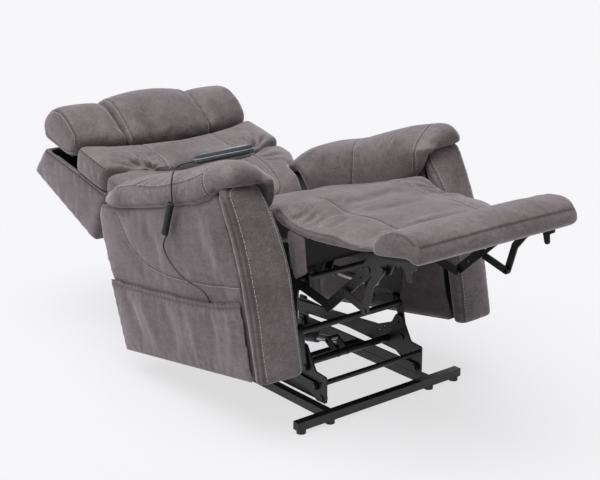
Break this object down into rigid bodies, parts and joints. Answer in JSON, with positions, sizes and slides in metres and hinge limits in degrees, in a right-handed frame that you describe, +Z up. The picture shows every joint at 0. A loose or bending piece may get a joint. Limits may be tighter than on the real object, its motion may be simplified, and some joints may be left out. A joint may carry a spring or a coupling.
{
  "type": "lift recliner chair",
  "caption": "Powered lift recliner with a floor frame, four-bar lift, tilting seat, folding footrest, reclining back, tilting headrest and corded handset.",
  "frame": {"origin": "on the floor, under the middle of the bounding box, cord left out", "axes": "+X to the sitter's left, -Y the way the sitter faces, +Z up"},
  "size_m": [0.9235, 1.8894, 0.7864],
  "materials": {
    "actuator_grey": "moulded motor and gear housing",
    "black_plastic": "moulded",
    "black_steel": "satin black powder coat",
    "board_black": "black painted board",
    "bright_steel": "ground push rod",
    "button_grey": "soft keys",
    "cord_black": "matte cord jacket",
    "handset_plastic": "dark grey moulding",
    "handset_silver": "silver moulding",
    "lining_black": "woven black dust cover",
    "spring_steel": "drawn spring wire",
    "upholstery": "brushed warm grey microsuede with pale stitching"
  },
  "bodies": {
    "base": {"base_frame": "black_steel", "base_glides_and_caps": "black_plastic", "rear_pivot_pins": "black_steel"},
    "lower_arms": {"lower_lift_arms": "black_steel"},
    "upper_arms": {"upper_lift_arms": "black_steel"},
    "lift_frame": {"lift_frame_sides": "black_steel", "lift_frame_cross_tubes": "black_steel", "front_pivot_pins": "black_steel"},
    "tilt_links": {"tilt_links": "black_steel"},
    "lift_actuator": {"lift_actuator_body": "actuator_grey"},
    "lift_push_rod": {"lift_actuator_rod": "bright_steel"},
    "recline_actuator": {"recline_actuator_body": "actuator_grey"},
    "recline_push_rod": {"recline_actuator_rod": "bright_steel"},
    "footrest_actuator": {"footrest_actuator_body": "actuator_grey"},
    "footrest_push_rod": {"footrest_actuator_rod": "bright_steel"},
    "footrest_rear_links": {"footrest_rear_links": "black_steel"},
    "footrest_front_links": {"footrest_front_links": "black_steel"},
    "short_braces": {"footrest_short_braces": "black_steel"},
    "long_braces": {"footrest_long_braces": "black_steel"},
    "footrest_board": {"footrest_brackets": "black_steel", "footrest_board": "board_black", "footrest_bolster": "upholstery"},
    "legrest_pad": {"legrest_pad": "upholstery"},
    "back": {"back_hinge_levers": "black_steel", "back_frame": "black_steel", "back_shell": "upholstery", "back_lining": "lining_black", "lumbar_cushion": "upholstery", "shoulder_cushion": "upholstery"},
    "headrest": {"headrest_frame": "board_black", "headrest_side_pads": "upholstery", "headrest_pillow": "upholstery"},
    "button_head_up": {"button_head_up": "button_grey"},
    "button_head_down": {"button_head_down": "button_grey"},
    "button_back_up": {"button_back_up": "button_grey"},
    "button_back_down": {"button_back_down": "button_grey"},
    "button_lift_up": {"button_lift_up": "button_grey"},
    "button_lift_down": {"button_lift_down": "button_grey"},
    "chair_body": {"carriage_sides": "black_steel", "carriage_cross_members": "black_steel", "control_box": "black_plastic", "power_inlet": "black_plastic", "seat_frame_rails": "board_black", "seat_springs": "spring_steel", "seat_cushion": "upholstery", "arm_facings": "upholstery", "arm_pad_left": "upholstery", "arm_pad_right": "upholstery", "arm_outer_panel_left": "upholstery", "arm_outer_panel_right": "upholstery", "arm_inner_panels": "upholstery", "arm_frames": "board_black", "side_pocket": "upholstery", "handset_shell": "handset_plastic", "handset_trim": "handset_silver", "handset_face": "handset_plastic", "handset_strain_relief": "cord_black", "cord_upper": "cord_black", "cord_coil": "cord_black", "cord_lower": "cord_black"}
  },
  "joints": [
    {"name": "lift", "type": "hinge", "parent": "base", "child": "lower_arms", "pos_m": [0, 0.10465, 0.058], "axis": [-1, 0, 0], "range_deg": [0, 35]},
    {"name": "lift_frame_swing", "type": "hinge", "parent": "lower_arms", "child": "lift_frame", "pos_m": [0, -0.43535, 0.058], "axis": [1, 0, 0], "range_deg": [0, 55.01]},
    {"name": "upper_arm_swing", "type": "hinge", "parent": "base", "child": "upper_arms", "pos_m": [0, 0.13565, 0.1108], "axis": [-1, 0, 0], "range_deg": [0, 34.68]},
    {"name": "lift_actuator_pivot", "type": "hinge", "parent": "base", "child": "lift_actuator", "pos_m": [0, 0.10465, 0.062], "axis": [-1, 0, 0], "range_deg": [0, 43.37]},
    {"name": "lift_actuator_stroke", "type": "slide", "parent": "lift_actuator", "child": "lift_push_rod", "axis": [0, -0.9778, 0.2095], "range_m": [0, 0.16557]},
    {"name": "seat_tilt", "type": "hinge", "parent": "lift_frame", "child": "chair_body", "pos_m": [0, 0.20465, 0.08], "axis": [1, 0, 0], "range_deg": [0, 9.39]},
    {"name": "tilt_link_swing", "type": "hinge", "parent": "lift_frame", "child": "tilt_links", "pos_m": [0, -0.36935, 0.135], "axis": [-1, 0, 0], "range_deg": [0, 53.01]},
    {"name": "backrest", "type": "hinge", "parent": "chair_body", "child": "back", "pos_m": [0, 0.12946, 0.38219], "axis": [1, 0, 0], "range_deg": [0, 50]},
    {"name": "recline_actuator_pivot", "type": "hinge", "parent": "chair_body", "child": "recline_actuator", "pos_m": [0, -0.28235, 0.37427], "axis": [-1, 0, 0], "range_deg": [0, 4.08]},
    {"name": "recline_actuator_stroke", "type": "slide", "parent": "recline_actuator", "child": "recline_push_rod", "axis": [0, 0.9914, -0.1312], "range_m": [0, 0.07239]},
    {"name": "headrest", "type": "hinge", "parent": "back", "child": "headrest", "pos_m": [0, 0.66642, 0.56994], "axis": [-1, 0, 0], "range_deg": [0, 12]},
    {"name": "footrest", "type": "hinge", "parent": "chair_body", "child": "footrest_rear_links", "pos_m": [0, -0.38268, 0.41113], "axis": [1, 0, 0], "range_deg": [0, 59.07]},
    {"name": "footrest_knee", "type": "hinge", "parent": "footrest_rear_links", "child": "footrest_front_links", "pos_m": [0, -0.5357, 0.38069], "axis": [-1, 0, 0], "range_deg": [0, 119.1]},
    {"name": "footrest_board_turn", "type": "hinge", "parent": "footrest_front_links", "child": "footrest_board", "pos_m": [0, -0.70736, 0.53172], "axis": [1, 0, 0], "range_deg": [0, 150.03]},
    {"name": "short_brace_swing", "type": "hinge", "parent": "footrest_front_links", "child": "short_braces", "pos_m": [0, -0.61294, 0.4487], "axis": [1, 0, 0], "range_deg": [0, 177.14]},
    {"name": "long_brace_swing", "type": "hinge", "parent": "footrest_board", "child": "long_braces", "pos_m": [0, -0.77528, 0.55005], "axis": [-1, 0, 0], "range_deg": [0, 91.32]},
    {"name": "legrest_pad_fold", "type": "hinge", "parent": "chair_body", "child": "legrest_pad", "pos_m": [0, -0.36529, 0.56536], "axis": [1, 0, 0], "range_deg": [0, 80.01], "deforming": ["legrest_pad"]},
    {"name": "footrest_actuator_pivot", "type": "hinge", "parent": "chair_body", "child": "footrest_actuator", "pos_m": [0, 0.11507, 0.3197], "axis": [-1, 0, 0], "range_deg": [0, 6.5]},
    {"name": "footrest_actuator_stroke", "type": "slide", "parent": "footrest_actuator", "child": "footrest_push_rod", "axis": [0, 0.9993, -0.0377], "range_m": [0, 0.05172]},
    {"name": "button_head_up_press", "type": "slide", "parent": "chair_body", "child": "button_head_up", "axis": [0.053, -0.2685, -0.9618], "range_m": [0, 0.0015], "stiffness_N_per_m": 400},
    {"name": "button_head_down_press", "type": "slide", "parent": "chair_body", "child": "button_head_down", "axis": [0.053, -0.2685, -0.9618], "range_m": [0, 0.0015], "stiffness_N_per_m": 400},
    {"name": "button_back_up_press", "type": "slide", "parent": "chair_body", "child": "button_back_up", "axis": [0.053, -0.2685, -0.9618], "range_m": [0, 0.0015], "stiffness_N_per_m": 400},
    {"name": "button_back_down_press", "type": "slide", "parent": "chair_body", "child": "button_back_down", "axis": [0.053, -0.2685, -0.9618], "range_m": [0, 0.0015], "stiffness_N_per_m": 400},
    {"name": "button_lift_up_press", "type": "slide", "parent": "chair_body", "child": "button_lift_up", "axis": [0.053, -0.2685, -0.9618], "range_m": [0, 0.0015], "stiffness_N_per_m": 400},
    {"name": "button_lift_down_press", "type": "slide", "parent": "chair_body", "child": "button_lift_down", "axis": [0.053, -0.2685, -0.9618], "range_m": [0, 0.0015], "stiffness_N_per_m": 400}
  ],
  "couplings": [
    {"joint": "lift_frame_swing", "follows": "lift", "ratio": 1.5714},
    {"joint": "upper_arm_swing", "follows": "lift", "ratio": 0.99068},
    {"joint": "lift_actuator_pivot", "follows": "lift", "ratio": 1.2388},
    {"joint": "lift_actuator_stroke", "follows": "lift", "m_per_rad": 0.27103},
    {"joint": "tilt_link_swing", "follows": "seat_tilt", "ratio": 5.6443},
    {"joint": "recline_actuator_pivot", "follows": "backrest", "ratio": 0.081323},
    {"joint": "recline_actuator_stroke", "follows": "backrest", "m_per_rad": 0.082936},
    {"joint": "footrest_knee", "follows": "footrest", "ratio": 2.0162},
    {"joint": "footrest_board_turn", "follows": "footrest", "ratio": 2.5399},
    {"joint": "short_brace_swing", "follows": "footrest", "ratio": 2.9989},
    {"joint": "long_brace_swing", "follows": "footrest", "ratio": 1.5458},
    {"joint": "legrest_pad_fold", "follows": "footrest", "ratio": 1.3544},
    {"joint": "footrest_actuator_pivot", "follows": "footrest", "ratio": 0.10996},
    {"joint": "footrest_actuator_stroke", "follows": "footrest", "m_per_rad": 0.050161}
  ]
}
